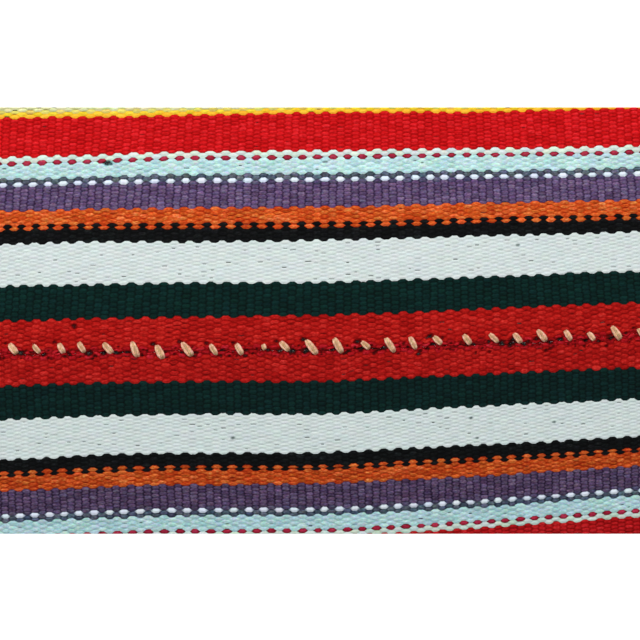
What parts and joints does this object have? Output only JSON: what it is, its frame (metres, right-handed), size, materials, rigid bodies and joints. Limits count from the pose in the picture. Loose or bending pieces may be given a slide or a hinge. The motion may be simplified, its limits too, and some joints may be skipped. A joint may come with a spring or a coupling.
{
  "type": "striped flat-woven rug piece",
  "caption": "Cut length of striped, warp-faced flat-woven rug cloth: two loom widths sewn edge to edge at their selvedges, lying flat.",
  "frame": {"origin": "on the surface under the middle of the cloth's bounding box", "axes": "+X along the warps and stripes, +Y across the cloth from the narrower loom width to the wider one, +Z out of the face"},
  "size_m": [0.27, 0.169, 0.0026],
  "materials": {
    "upper_cloth": "warp-faced plain weave of hard-spun wool with stripes in red, yellow, pale aqua, slate, purple, orange, black, off-white and dark green",
    "lower_cloth": "the same cloth with its stripes in mirrored order",
    "joining_yarn": "undyed three-ply wool in slanting overcast stitches"
  },
  "bodies": {
    "root": {"upper_loom_width": "upper_cloth", "lower_loom_width": "lower_cloth"}
  },
  "joints": []
}
